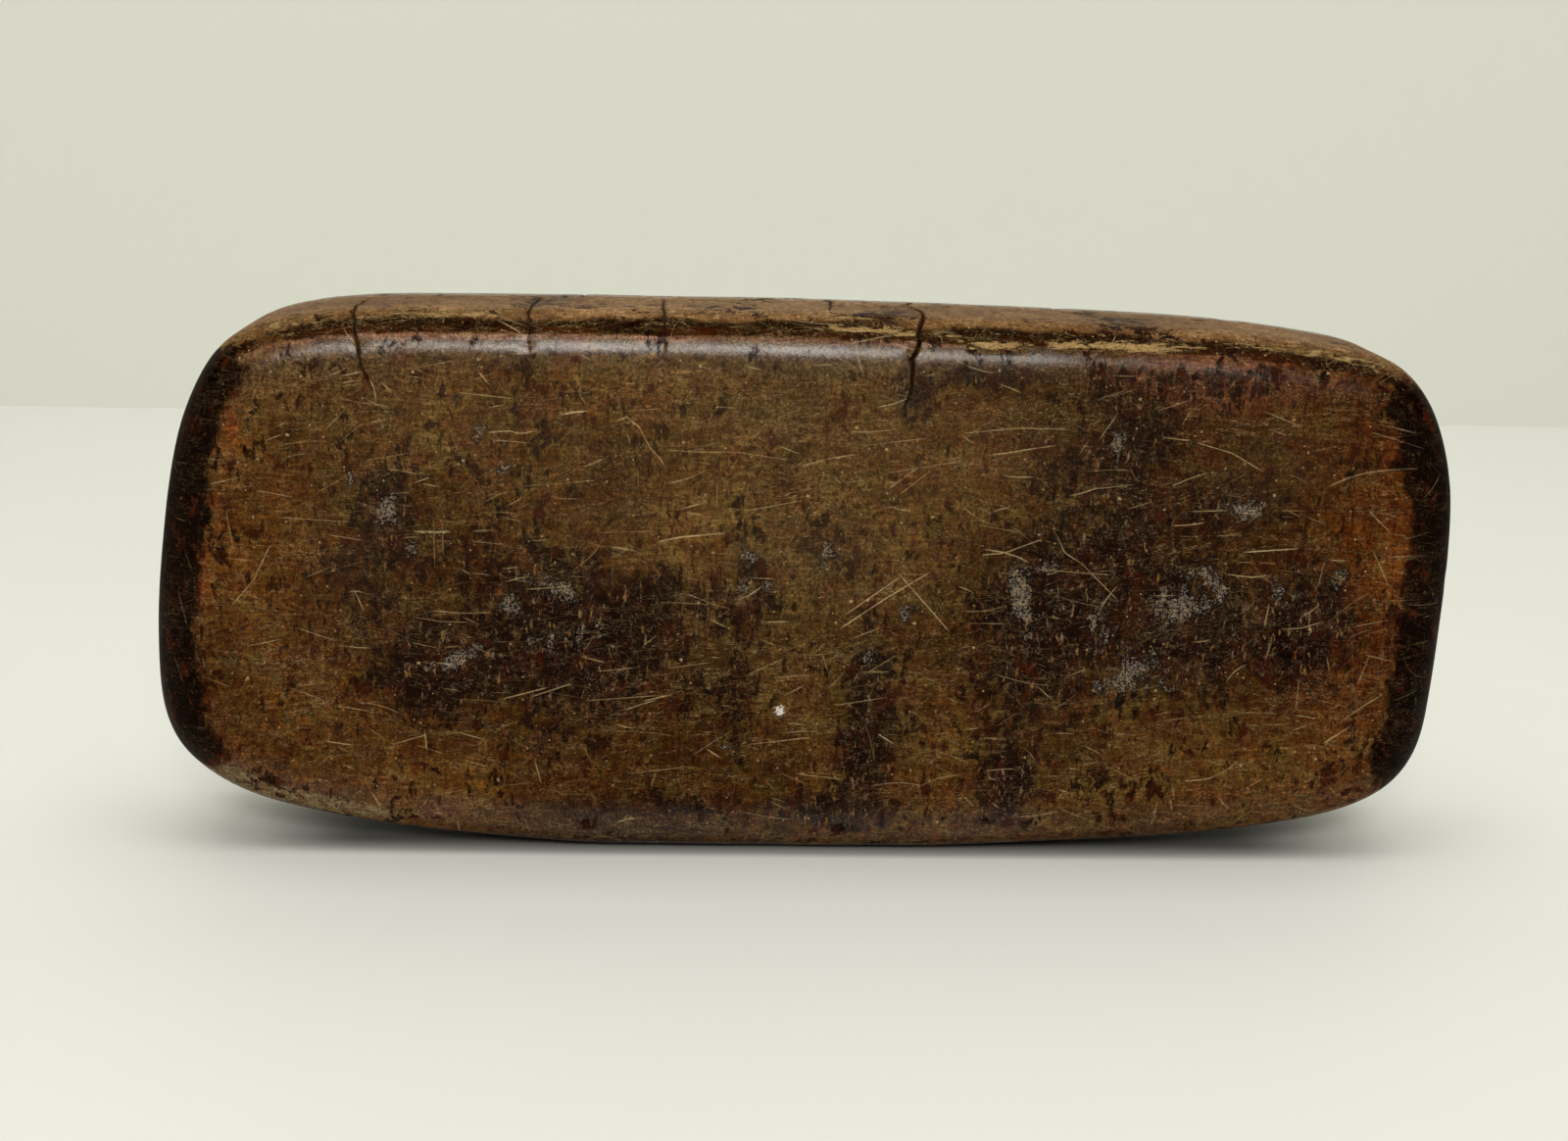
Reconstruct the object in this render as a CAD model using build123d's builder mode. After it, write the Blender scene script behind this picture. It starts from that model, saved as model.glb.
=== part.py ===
from build123d import *
import os

# Wood edge slicker: one solid block of dense hardwood, held in the hand and
# rubbed along a leather edge. It stands on its long, gently rockered lower
# edge. Millimetres, +Z up.
# Origin: mid length in X, mid thickness in Y, resting plane in Z.
# +X runs along the length to the right end, +Y through the thickness.

os.makedirs("parts", exist_ok=True)

# Driving dimensions
length = 170.0  # X
height = 72.2  # Z
thickness = 27.0  # Y, between the two broad faces
shoulder_radius = 6.3  # rounding all round both broad faces
land_left = -22.0  # X ends of the straight land in the lower edge
land_right = 13.0

half_length = length / 2
wood_color = Color(0.24, 0.14, 0.08)

# Hand-shaped outline as (x, z) stations, anticlockwise with +X to the right,
# from the right end of the land round to its left end.
outline_stations = [
    (land_right, 0.0),
    # Lower edge, rising to the lower right corner
    (31.0, 0.72), (51.0, 2.05), (64.5, 3.85),
    (73.0, 5.95), (78.8, 9.05), (82.2, 13.5),
    # Right end: bulges most a little above mid height
    (83.9, 21.5), (84.7, 33.0), (half_length, 43.5),
    (84.5, 50.6), (83.0, 56.8), (80.4, 62.3),
    # Upper right corner: a long, soft sweep into the top edge
    (75.9, 66.6), (68.9, 68.6), (60.8, 69.75),
    # Top edge: highest left of centre, falling slowly towards the right
    (44.7, 71.0), (24.0, 71.6), (-3.0, height - 0.06),
    (-26.0, height), (-48.0, height - 0.1),
    # Upper left corner: fuller and tighter than the right one
    (-58.3, 71.8), (-65.9, 70.9), (-71.9, 69.1),
    (-75.6, 66.5), (-78.7, 62.0),
    # Left end: bulges most well below mid height
    (-80.8, 57.0), (-82.4, 50.5), (-83.8, 41.5), (-84.7, 33.5),
    (-half_length, 25.5), (-84.5, 18.7), (-82.7, 13.9),
    # Lower left corner, then the lower edge falling to the land
    (-79.0, 10.05), (-74.0, 7.1), (-67.0, 4.85),
    (-48.5, 1.8), (-33.0, 0.42),
    (land_left, 0.0),
]
land_direction = (1, 0)


def make_slicker_block():
    """The whole tool: the side outline, extruded and rounded over."""
    with BuildPart() as slicker_block:
        with BuildSketch(Plane.XZ):
            with BuildLine():
                # Straight land that the tool rests on
                Line((land_left, 0.0), (land_right, 0.0))
                # The rest is one smooth curve, tangent to the land at both ends
                Spline(*outline_stations, tangents=[land_direction, land_direction])
            make_face()
        extrude(amount=thickness / 2, both=True)

        # Round over the rim of each broad face
        broad_faces = slicker_block.faces().filter_by(Plane.XZ).sort_by(Axis.Y)
        rim_edges = broad_faces[0].edges() + broad_faces[-1].edges()
        fillet(rim_edges, radius=shoulder_radius)

    slicker_block.part.label = "slicker_block"
    slicker_block.part.color = wood_color
    return slicker_block.part


export_step(make_slicker_block(), "parts/slicker_block.step")
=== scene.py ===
"""A wood edge slicker: one worn block of dense hardwood.

The block is long in X, thin in Y and stands on its lower long edge in Z.  Its front is the
broad face on the -Y side, which the camera sees; the back is the face on the +Y side.
The block is worked in millimetres and written in metres; the stage is in metres.
"""

import math

import bmesh
import bpy
import numpy as np
from mathutils import Matrix, Vector


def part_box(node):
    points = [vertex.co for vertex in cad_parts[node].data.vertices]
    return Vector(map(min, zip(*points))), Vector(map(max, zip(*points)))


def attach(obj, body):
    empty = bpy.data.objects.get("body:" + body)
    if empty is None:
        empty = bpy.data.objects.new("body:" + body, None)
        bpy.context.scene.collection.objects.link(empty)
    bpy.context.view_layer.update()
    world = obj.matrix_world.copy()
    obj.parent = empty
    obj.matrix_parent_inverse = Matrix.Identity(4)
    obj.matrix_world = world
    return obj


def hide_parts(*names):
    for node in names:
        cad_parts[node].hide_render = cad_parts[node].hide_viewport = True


MM = 1000.0  # millimetres in a metre
NODE = "slicker_block"

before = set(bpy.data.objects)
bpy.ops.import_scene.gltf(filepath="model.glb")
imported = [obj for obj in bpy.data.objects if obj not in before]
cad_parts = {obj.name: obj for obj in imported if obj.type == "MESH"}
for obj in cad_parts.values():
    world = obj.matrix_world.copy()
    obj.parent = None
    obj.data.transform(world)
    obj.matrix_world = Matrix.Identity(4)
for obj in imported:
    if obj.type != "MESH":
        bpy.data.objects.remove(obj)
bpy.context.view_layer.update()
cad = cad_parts[NODE]
LOW, HIGH = (np.array(corner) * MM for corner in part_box(NODE))
HALF_THICK = (HIGH[1] - LOW[1]) / 2.0

VOXEL = 0.82  # size of the even skin's faces
CURVE_POINTS = 2400  # samples round the outline
GRID = 0.5  # pitch of the outline's distance grid
GRID_MARGIN = 4
FLAT = 0.002  # tolerance for points on the flat edge band

# ---------------------------------------------------------------------------
# tables of wear
# ---------------------------------------------------------------------------
# drying checks from the top edge: width, depth, points (x, y, z)
CHECKS = [
    # over the front shoulder
    (0.27, 1.3, [(-57.9, 1.5, 71.8), (-58.3, -5.0, 71.9), (-58.1, -9.4, 71.4),
                 (-57.8, -11.9, 69.8), (-57.3, -13.0, 68.0), (-56.8, -13.5, 65.5),
                 (-56.4, -13.5, 64.4), (-55.9, -13.5, 62.9), (-54.8, -13.5, 61.1),
                 (-53.6, -13.5, 59.8)]),
    (0.16, 0.8, [(-35.3, 4.6, 72.2), (-35.8, -3.2, 72.2), (-36.0, -8.8, 72.0),
                 (-35.7, -12.5, 69.3), (-35.6, -13.5, 65.2)]),
    (0.15, 0.8, [(-19.2, 3.0, 72.2), (-18.8, -8.9, 72.0), (-18.7, -12.7, 69.0),
                 (-18.6, -13.5, 65.0)]),
    (0.46, 2.0, [(13.2, 3.0, 71.8), (14.0, -0.4, 71.8), (14.6, -3.2, 71.8), (14.4, -6.5, 71.8),
                 (13.8, -9.4, 71.4), (13.4, -12.4, 69.0), (12.8, -13.4, 66.5),
                 (12.6, -13.5, 62.8), (12.1, -13.5, 60.0), (11.6, -13.5, 57.5)]),
    (0.15, 0.5, [(3.0, 4.2, 72.1), (2.4, -5.7, 72.1)]),
    # over the back shoulder
    (0.32, 1.4, [(-30.2, 4.0, 72.2), (-30.0, 6.0, 72.2), (-29.6, 10.2, 71.6),
                 (-29.9, 12.9, 69.0), (-30.4, 13.5, 65.6), (-29.8, 13.5, 61.6)]),
    (0.16, 0.8, [(33.0, 5.0, 71.4), (33.4, 8.0, 71.3), (33.0, 12.5, 68.6), (33.2, 13.5, 65.2)]),
    (0.38, 1.7, [(13.2, 3.0, 71.8), (13.6, 8.0, 71.6), (13.2, 11.4, 70.3), (13.6, 13.3, 67.2),
                 (14.2, 13.5, 63.0), (13.8, 13.5, 59.4)]),
]

# shallow nicks: centre, radius, depth
NICKS = [
    ((-4.8, -13.5, 37.2), 0.95, 0.34),
    ((84.0, -10.5, 50.5), 1.1, 0.16),
    ((-83.6, -11.0, 47.0), 0.8, 0.16),
    ((13.9, -6.0, 72.0), 1.1, 0.25),
    ((12.9, -13.2, 68.3), 1.0, 0.22),
]

# flaked skin on the top front shoulder: x, place across, half length, half width, strength
FLAKES = [
    (-46.0, 7.4, 8.5, 1.2, 0.62), (-54.0, 6.6, 5.0, 0.8, 0.42), (-38.0, 7.6, 4.0, 0.8, 0.45),
    (6.5, 5.6, 5.6, 0.75, 0.90), (11.0, 5.0, 3.0, 0.7, 0.80), (6.0, 7.8, 7.0, 0.7, 0.55),
    (-16.0, 7.8, 7.0, 0.6, 0.50), (17.5, 4.9, 2.2, 0.7, 0.62), (23.5, 3.7, 4.2, 0.65, 0.90),
    (32.8, 4.1, 3.2, 0.8, 0.92), (40.5, 4.3, 6.5, 0.9, 0.95), (47.5, 4.9, 3.5, 0.6, 0.60),
    (58.0, 6.4, 6.0, 1.2, 0.50), (68.0, 6.6, 8.0, 1.6, 0.55), (34.0, 6.2, 5.0, 0.5, 0.45),
    (-66.0, 7.0, 7.0, 1.6, 0.45),
]

# soft marks of the front: x, z, half width, half height, turn in degrees, strength
MARKS = {
    "dark": [
        (-28.3, 31.4, 14.1, 7.7, -10, 0.9), (-48.6, 25.3, 7.1, 5.8, 0, 0.85),
        (-53.9, 46.0, 3.8, 5.1, 20, 0.6), (-58.4, 36.3, 7.7, 9.0, 0, 0.35),
        (-33.4, 23.5, 12.8, 5.1, 0, 0.45), (32.0, 34.8, 8.3, 7.7, 0, 0.9),
        (48.1, 32.3, 10.3, 7.7, 0, 0.95), (64.8, 32.5, 7.7, 7.7, 0, 0.75),
        (39.9, 42.7, 10.3, 6.4, 10, 0.5), (40.4, 56.8, 6.4, 9.0, -20, 0.55),
        (56.1, 48.1, 7.7, 2.6, 0, 0.5), (29.2, 25.5, 6.4, 5.1, 0, 0.6),
        (8.2, 18.6, 3.8, 14.1, 0, 0.8), (27.2, 10.7, 3.8, 7.7, 0, 0.9),
        (1.4, 6.4, 5.1, 2.6, 0, 0.6), (-7.5, 38.2, 3.2, 5.8, 0, 0.55),
        (1.9, 42.2, 5.1, 4.5, 0, 0.35), (12.6, 62.1, 2.6, 3.2, 0, 0.75),
        (21.3, 64.7, 7.7, 2.3, 0, 0.5), (52.5, 64.6, 10.3, 3.2, 10, 0.45),
        (-15.4, 6.5, 25.6, 2.6, 0, 0.3), (-44.6, 41.6, 7.7, 5.1, 0, 0.25),
        (69.0, 11.1, 7.7, 5.1, 0, 0.2), (-9.2, 23.7, 2.6, 7.7, 0, 0.3),
        (-36.0, 55.0, 15.0, 7.0, 0, 0.20), (38.0, 54.0, 14.0, 8.0, 0, 0.16),
        (-33.4, 15.5, 3.8, 5.1, 0, 0.3), (36.1, 16.2, 5.1, 6.4, 0, 0.3),
        (-16.9, 36.8, 3.8, 3.8, 0, 0.4),
    ],
    "orange": [
        (-75.0, 47.0, 3.2, 12.0, 4, 0.55), (-77.0, 24.0, 3.0, 11.0, 0, 0.50),
        (77.0, 38.0, 3.0, 18.0, 0, 0.42), (-73.3, 56.4, 2.1, 4.6, 20, 0.85),
        (-77.7, 37.3, 1.5, 4.1, 0, 0.9), (-39.6, 35.9, 1.8, 1.5, 0, 0.9),
        (74.7, 54.7, 3.2, 5.1, 0, 0.6), (73.7, 43.1, 3.8, 7.7, 0, 0.4),
        (79.7, 24.7, 1.9, 7.7, 0, 0.5), (28.7, 6.6, 3.8, 1.5, 0, 0.5),
        (7.8, 10.5, 3.8, 1.9, 0, 0.35), (33.9, 8.0, 7.7, 1.9, 0, 0.4),
        (-62.8, 9.8, 7.7, 2.3, 10, 0.5),
    ],
    "grey": [
        (-53.8, 46.6, 1.3, 2.8, -15, 0.9), (-45.4, 27.0, 3.1, 1.2, 20, 1),
        (-38.6, 34.2, 1.3, 1.3, 0, 1), (-32.1, 36.6, 4.1, 1.3, -20, 0.7),
        (-32.7, 29.4, 3.8, 1.5, 10, 0.55), (-27.0, 31.4, 2.6, 1.3, 0, 0.4),
        (27.5, 36.0, 1.4, 4.6, 12, 1), (30.1, 40.0, 2.6, 1.2, 0, 0.5),
        (48.0, 35.0, 4.2, 2.3, 10, 0.85), (52.9, 37.6, 1.6, 2.2, 0, 0.6),
        (42.1, 25.6, 5.1, 2.1, 35, 0.75), (37.9, 32.2, 1.5, 3.8, 0, 0.5),
        (61.9, 37.8, 2.6, 1.8, 0, 0.5), (69.2, 39.2, 1.0, 1.5, 0, 0.7),
        (56.1, 48.1, 2.8, 1.2, 0, 0.85), (39.2, 56.2, 0.8, 2.3, 0, 0.85),
        (-7.9, 41.2, 1.2, 0.8, 0, 0.9), (-7.9, 36.8, 1.0, 0.8, 0, 0.9),
        (-4.8, 37.2, 1.0, 0.9, 0, 0.5), (2.5, 41.6, 1.8, 2.3, 0, 0.4),
        (12.9, 33.9, 1.8, 1.0, 10, 0.65), (-41.9, 57.1, 1.0, 1.5, 0, 0.7),
        (-45.0, 61.2, 0.6, 0.8, 0, 0.6), (-28.3, 61.5, 0.6, 0.8, 0, 0.5),
        (8.0, 28.6, 1.9, 1.9, 0, 0.3), (46.7, 24.4, 1.8, 1.0, 0, 0.5),
        (-9.7, 15.1, 1.3, 0.6, -30, 0.6), (-50.8, 41.5, 1.3, 1.5, 0, 0.4),
        (49.6, 39.6, 2.8, 1.0, 0, 0.6), (-58.7, 50.1, 0.9, 1.8, -30, 0.5),
        (-38.9, 52.1, 0.8, 2.1, -20, 0.45),
    ],
    # painted sheen: pale haze, mostly high on the face and towards the left
    "painted_sheen": [
        (-3.4, 57.5, 29.5, 9.0, 0, 0.7), (-25.8, 47.0, 15.4, 7.7, 0, 0.4),
        (-43.1, 58.1, 15.4, 6.4, 0, 0.5), (3.8, 66.1, 20.5, 1.8, 0, 0.7),
        (-33.2, 65.5, 20.5, 1.5, 0, 0.5), (21.7, 54.0, 11.5, 7.7, 0, 0.5),
        (4.4, 42.2, 15.4, 7.7, 0, 0.5), (-58.3, 41.4, 9.0, 14.1, 0, 0.3),
        (59.5, 54.5, 10.3, 6.4, 0, 0.35),
    ],
}

# tones of the wood (sRGB)
TONES = {
    "olive": (87, 60, 21), "waxed": (92, 67, 35), "brown": (76, 45, 10), "umber": (60, 32, 2),
    "rust": (86, 36, 0), "light": (86, 50, 13), "plum": (124, 72, 46), "dull": (73, 48, 16),
}
# where each tone lies on the front: tone, x, z, half width, half height, weight
ZONES = [
    ("light", -71, 38, 11, 40, 1.0), ("waxed", -62, 62, 12, 5, 1.2),
    ("waxed", 0, 63, 16, 4.5, 1.3), ("olive", 0, 48, 22, 16, 1.5),
    ("olive", 2, 28, 9, 16, 2.2), ("waxed", 0, 36, 11, 12, 2.4),
    ("dull", -44, 54, 18, 10, 1.2), ("umber", -47, 33, 14, 13, 1.3),
    ("umber", 38, 52, 24, 11, 2.4), ("umber", 34, 34, 22, 13, 1.3),
    ("rust", 72, 44, 8, 24, 1.5), ("brown", 60, 44, 8, 12, 1.0),
    ("umber", -24, 19, 22, 9, 1.2), ("umber", 4, 8, 26, 7, 1.3),
    ("light", -42, 11, 15, 6, 1.0), ("dull", 40, 17, 16, 8, 1.4),
    ("brown", 58, 14, 16, 8, 1.0), ("plum", 51, 64.5, 9, 2.8, 4.0),
    ("umber", -36, 55, 14, 8, 2.2), ("umber", 66, 55, 10, 8, 1.0),
    ("umber", 68, 62, 9, 5, 1.0), ("brown", -60, 22, 12, 10, 0.8),
    ("umber", -32, 34, 8, 8, 0.6), ("brown", 20, 40, 6, 20, 0.8),
]

# long scratches of the front: strength, width, then x, z of each point
SCRATCHES = [
    (1, 0.16, -32, 59.1, -30, 59.5, -28.1, 59.7), (0.6, 0.1, -23.7, 59.7, -19, 60.1),
    (0.8, 0.12, -25, 58.3, -23.5, 59, -21.9, 57.8, -20.3, 54.8, -19.3, 53.9, -18.5, 52.6),
    (0.8, 0.12, -41.3, 56.7, -38.2, 57, -37, 56.6, -34.6, 57.1),
    (0.5, 0.09, -40.7, 55.8, -37.4, 55.6, -35.1, 55.4),
    (0.6, 0.1, -30, 64.1, -29.3, 62.7, -29.3, 61.5, -28.4, 60.4),
    (0.55, 0.1, -18.4, 54.8, -15, 54.6, -9, 54.6, -2.7, 53.7),
    (0.6, 0.16, -18.3, 50.4, -15.6, 51.1, -13.1, 52.3),
    (0.4, 0.09, -37.6, 49.8, -33.3, 50.1, -27.1, 50.8),
    (0.6, 0.1, -33.3, 48.7, -32, 48.3, -28.9, 48.3),
    (0.5, 0.1, -42, 47.4, -40, 48.6, -38.4, 49.2),
    (0.65, 0.2, -50.7, 43.8, -47.7, 43.7, -45.8, 43.9), (0.55, 0.2, -43.3, 43.9, -40.2, 44.1),
    (0.5, 0.1, -40.5, 46.5, -37, 46.3), (0.6, 0.1, -39.9, 46, -36.8, 45.2),
    (0.35, 0.08, -27.4, 43.9, -19.5, 44.2), (0.95, 0.17, -19.5, 42.8, -16.4, 43.5, -10.5, 44.1),
    (0.7, 0.16, -25.8, 42.2, -23.9, 41.9, -22.4, 41.6),
    (0.5, 0.12, -30.2, 38.9, -27.7, 41, -26.5, 42.9), (0.8, 0.12, -39.3, 39, -37.1, 39.3),
    (0.7, 0.12, -44.7, 39, -43.2, 38.1), (0.6, 0.12, -44.3, 40.3, -44.1, 39),
    (0.5, 0.1, -10.8, 47.3, -7.6, 47.1, -0.8, 48.5),
    (0.6, 0.1, -15.8, 36.1, -11.9, 34.6, -9.7, 34), (0.4, 0.1, -19.5, 34.9, -11.9, 34.6),
    (0.6, 0.1, -12, 32.7, -9.7, 34.1), (0.9, 0.14, -8.1, 35.5, -5.6, 37.3),
    (0.5, 0.1, -51, 32.5, -47, 31.9, -43.4, 31.9), (0.5, 0.1, -51, 29.1, -47.3, 28.3),
    (0.7, 0.13, -39.5, 21.6, -33.4, 23.3), (0.6, 0.12, -35.9, 21.9, -30.2, 23.9),
    (0.4, 0.09, -27.4, 25.5, -21.7, 26.1), (0.8, 0.12, -21.3, 21.5, -17.2, 22.5),
    (0.55, 0.1, -28.9, 21.5, -19.4, 22.3), (0.45, 0.1, -18.1, 26, -12.2, 26.9),
    (0.5, 0.12, -21.3, 28.9, -19.2, 30.6), (0.6, 0.1, -6.1, 30.1, -3.9, 29.2),
    (0.6, 0.1, -2.5, 22.6, 0, 24), (0.6, 0.1, -4.5, 24.9, 1, 25.3),
    (0.3, 0.1, -48, 45.8, -47.9, 39), (0.35, 0.1, -46.9, 45.2, -46.8, 40.7),
    (0.5, 0.09, -22, 53.1, -21.9, 49.6), (0.45, 0.09, -11.8, 50.7, -11.9, 47.2),
    (0.5, 0.09, -7.8, 50.8, -8, 48.5), (0.55, 0.1, -3.8, 58.7, -5.1, 56.7),
    (0.8, 0.12, -15.3, 59.2, -14.5, 58.6), (0.9, 0.12, -50.7, 50, -48.3, 50.9),
    (0.7, 0.12, 22.2, 41.6, 25.3, 41.9, 30.3, 43.9),
    (0.75, 0.1, 31.8, 44.7, 33.2, 42, 35.5, 40.6, 37.6, 38.5, 40.5, 35.7),
    (0.55, 0.12, 30.1, 39.8, 35.6, 39.4, 39.4, 39.2), (0.4, 0.09, 21.4, 45.7, 27.4, 44.6),
    (0.95, 0.13, 56.1, 42.4, 63.7, 43), (0.6, 0.13, 52.5, 44.5, 55.9, 44.8),
    (0.6, 0.1, 60, 46.8, 61, 46.7), (0.65, 0.12, 54.1, 39.5, 57.6, 39.1, 60.1, 39.4),
    (0.6, 0.1, 61.9, 32.2, 64.8, 32.4, 67.6, 33.4), (0.9, 0.12, 45.8, 20.3, 48.1, 20.9),
    (0.6, 0.1, 56.6, 20.9, 62.4, 20.8), (0.7, 0.12, 58, 19.5, 58.6, 19.1, 60.1, 19.1),
    (1, 0.15, 68.6, 16.7, 72.3, 19.3), (0.55, 0.1, 64.1, 18.4, 66.7, 19.3),
    (0.6, 0.1, 36.5, 13.4, 39.4, 13.9),
    (0.75, 0.13, 50.3, 11.3, 53.5, 11.6, 55.8, 12.7, 57.6, 14.3),
    (0.5, 0.12, 40.1, 13.3, 44.8, 10.9), (0.8, 0.12, 67.3, 15.6, 67.6, 13.9),
    (0.6, 0.1, 58.9, 10.5, 61.4, 12.1), (0.7, 0.12, 48.7, 9, 49.1, 6.9),
    (0.5, 0.12, 40.5, 10.8, 42.1, 9.6), (1, 0.18, 25, 8.1, 26, 7.3),
    (0.6, 0.1, 20.8, 9.3, 22.8, 7.4), (0.8, 0.12, 22.9, 12, 23.5, 13.2),
    (0.7, 0.14, 22.3, 20.5, 24.5, 21.8), (0.5, 0.09, 19.9, 34.1, 25.6, 34.2),
    (0.5, 0.09, 20.8, 32.5, 26.3, 32.5), (0.7, 0.14, 64.7, 34, 65.6, 34),
    (0.6, 0.12, 67.5, 35.1, 68.5, 35.1), (0.5, 0.16, 60.2, 35.8, 59.7, 32.2),
    (0.6, 0.18, 60.9, 31.2, 60.1, 27.8), (0.6, 0.14, 68.2, 28.6, 68.8, 26.3),
    (0.45, 0.12, 65.6, 35.2, 65.5, 31.9), (0.5, 0.12, 64.8, 25.6, 64.6, 21.2),
    (0.9, 0.13, 4.2, 31.5, 10.3, 35.8, 16, 39.4), (0.7, 0.12, 11.5, 39.3, 14.8, 35.6, 18.7, 31.2),
    (0.8, 0.12, 4.9, 33.4, 12.1, 38.7), (0.7, 0.1, 6, 30.3, 9.8, 31.9),
    (0.5, 0.1, -67.5, 45.4, -58.5, 44.9), (0.6, 0.12, -68.8, 41.8, -71.1, 37.1, -74.1, 33.6),
    (0.6, 0.1, 19.4, 57.5, 26.5, 58.3, 33.1, 58.2), (0.7, 0.1, 49.1, 56.8, 54.1, 55.4, 58.5, 52.9),
    (0.5, 0.1, 9.8, 52.2, 19.8, 54), (0.5, 0.1, 6.6, 55.7, 14.7, 56.8),
    (0.8, 0.11, 9.9, 50, 13.9, 53.1), (0.7, 0.11, 11.5, 49.4, 15.4, 52.6),
    (0.6, 0.1, -61.7, 56.6, -58.9, 59.4), (0.6, 0.1, -59.9, 55.1, -56.5, 57.9),
    (0.5, 0.1, -56.6, 52.9, -50.6, 54), (0.6, 0.11, -76.7, 49.5, -71.7, 50.7),
    (0.6, 0.12, -74.3, 46.3, -73.5, 41.2), (0.5, 0.1, -67.5, 23.1, -62.5, 21.2),
    (0.6, 0.1, -61.3, 20.5, -56.5, 19.8), (0.6, 0.1, -53.8, 15.3, -48.7, 16.9),
    (0.7, 0.1, -44.9, 13.4, -41.1, 12.3), (0.6, 0.12, -35.3, 13.5, -34.4, 10.1),
    (0.7, 0.12, -28.9, 15.5, -27.9, 13.1), (0.8, 0.13, -12.9, 15.2, -10.8, 13.8),
    (0.5, 0.1, -23.1, 11.6, -15.4, 12.6), (0.6, 0.1, -7.8, 15.7, 1.2, 16.9),
    (0.5, 0.1, 3.7, 21.2, 10.7, 22.4), (0.7, 0.1, 7.4, 25.3, 11.9, 28.2),
    (0.6, 0.12, 2, 28.5, 3.1, 25.2), (0.6, 0.1, -7.9, 25.1, -2.9, 27.5),
    (0.7, 0.12, 40.9, 47.9, 44, 48.9), (0.6, 0.1, 35.7, 50.4, 42, 51.2),
    (0.6, 0.1, 66.4, 37.8, 67, 41.5), (0.5, 0.1, 71.3, 32.6, 76.4, 33.7),
    (0.6, 0.1, 73.1, 28.9, 77.5, 27.9), (0.6, 0.1, 72.5, 24.6, 73.9, 28.9),
    (0.5, 0.1, 73.1, 43.1, 75.8, 37.9), (0.6, 0.1, 72.1, 48.3, 75.5, 45.1),
    (0.6, 0.1, 44, 60.7, 48.3, 62.2), (0.6, 0.1, 36.4, 62.1, 40.1, 63.4),
    (0.5, 0.1, 57.8, 60.9, 63, 58.9), (0.6, 0.11, -81.4, 36, -79.8, 30.8),
    (0.6, 0.1, -80.1, 41.1, -78.8, 38), (0.5, 0.1, -82.5, 26.9, -80.7, 23),
    (0.5, 0.1, -78.2, 24.3, -74.4, 22.8), (0.6, 0.1, -66.1, 31, -60.5, 29.1),
    (0.6, 0.1, -72.4, 28.3, -67.6, 29.4), (0.6, 0.12, -58.4, 36.3, -57, 33),
    (0.5, 0.1, -64.6, 37.5, -60.9, 39.1), (0.6, 0.1, -62, 43.3, -56.8, 42.5),
    (0.5, 0.1, -70.5, 48.9, -65.6, 48), (0.6, 0.1, -50.6, 15.3, -46.8, 14),
    (0.6, 0.12, 30.3, 24.2, 32.6, 22.1),
]
SCRATCH_SETS = 6  # attributes that share out scratches which meet
STRAY_SCRATCHES = 4200
SCRATCH_REACH = 1.45  # how far from a scratch a vertex still carries it


# ---------------------------------------------------------------------------
# numeric tools
# ---------------------------------------------------------------------------
def ramp(start, end, value):
    """Smoothstep from 0 at start to 1 at end; start may be the larger."""
    t = np.clip((value - start) / (end - start), 0.0, 1.0)
    return t * t * (3.0 - 2.0 * t)


class ValueNoise:
    """Seeded value noise, about -1 to 1."""
    CELLS = 32

    def __init__(self, seed):
        self.table = np.random.default_rng(seed).uniform(-1, 1, (self.CELLS,) * 3)

    def layer(self, points):
        cell = np.floor(points).astype(int)
        part = points - cell
        part = part * part * part * (part * (part * 6 - 15) + 10)
        cell %= self.CELLS
        x0, y0, z0 = cell.T
        x1, y1, z1 = ((cell + 1) % self.CELLS).T
        fx, fy, fz = part.T

        def along_x(y, z):
            return self.table[x0, y, z] * (1 - fx) + self.table[x1, y, z] * fx

        lower = along_x(y0, z0) * (1 - fy) + along_x(y1, z0) * fy
        upper = along_x(y0, z1) * (1 - fy) + along_x(y1, z1) * fy
        return lower * (1 - fz) + upper * fz

    def __call__(self, points, size, octaves=1, stretch=(1, 1, 1)):
        base = np.asarray(points, float) / size / np.array(stretch, float) + 7.3
        out, weight, total = 0.0, 1.0, 0.0
        for k in range(octaves):
            out = out + weight * self.layer(base * 2.0**k + 3.1 * k)
            total += weight
            weight *= 0.5
        return out / total


(broad_noise, mid_noise, fine_noise, shoulder_noise, sway_noise, jitter_noise, flake_noise,
 scuff_noise, pit_noise, nick_noise, check_noise, stain_noise) = (
    ValueNoise(900 + k) for k in range(12))


def read_points(mesh):
    flat = np.zeros(len(mesh.vertices) * 3, np.float32)
    mesh.vertices.foreach_get("co", flat)
    return flat.reshape(-1, 3).astype(float)


def write_points(mesh, points):
    mesh.vertices.foreach_set("co", points.astype(np.float32).ravel())
    mesh.update()


def to_linear(srgb):
    srgb = np.asarray(srgb, float) / 255.0
    return np.where(srgb <= 0.04045, srgb / 12.92, ((srgb + 0.055) / 1.055) ** 2.4)


# ---------------------------------------------------------------------------
# the block's outline in X and Z, read from the CAD node's own vertices
# ---------------------------------------------------------------------------
cad_points = read_points(cad.data) * MM
land = cad_points[cad_points[:, 2] < LOW[2] + FLAT]
HALF_BAND = float(np.abs(land[:, 1]).max())  # half width of the flat edge band
SHOULDER = HALF_THICK - HALF_BAND  # shoulder radius
# surface length from where the face meets the shoulder to the middle of the edge band
HALF_ACROSS = SHOULDER * math.pi / 2 + HALF_BAND


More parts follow.
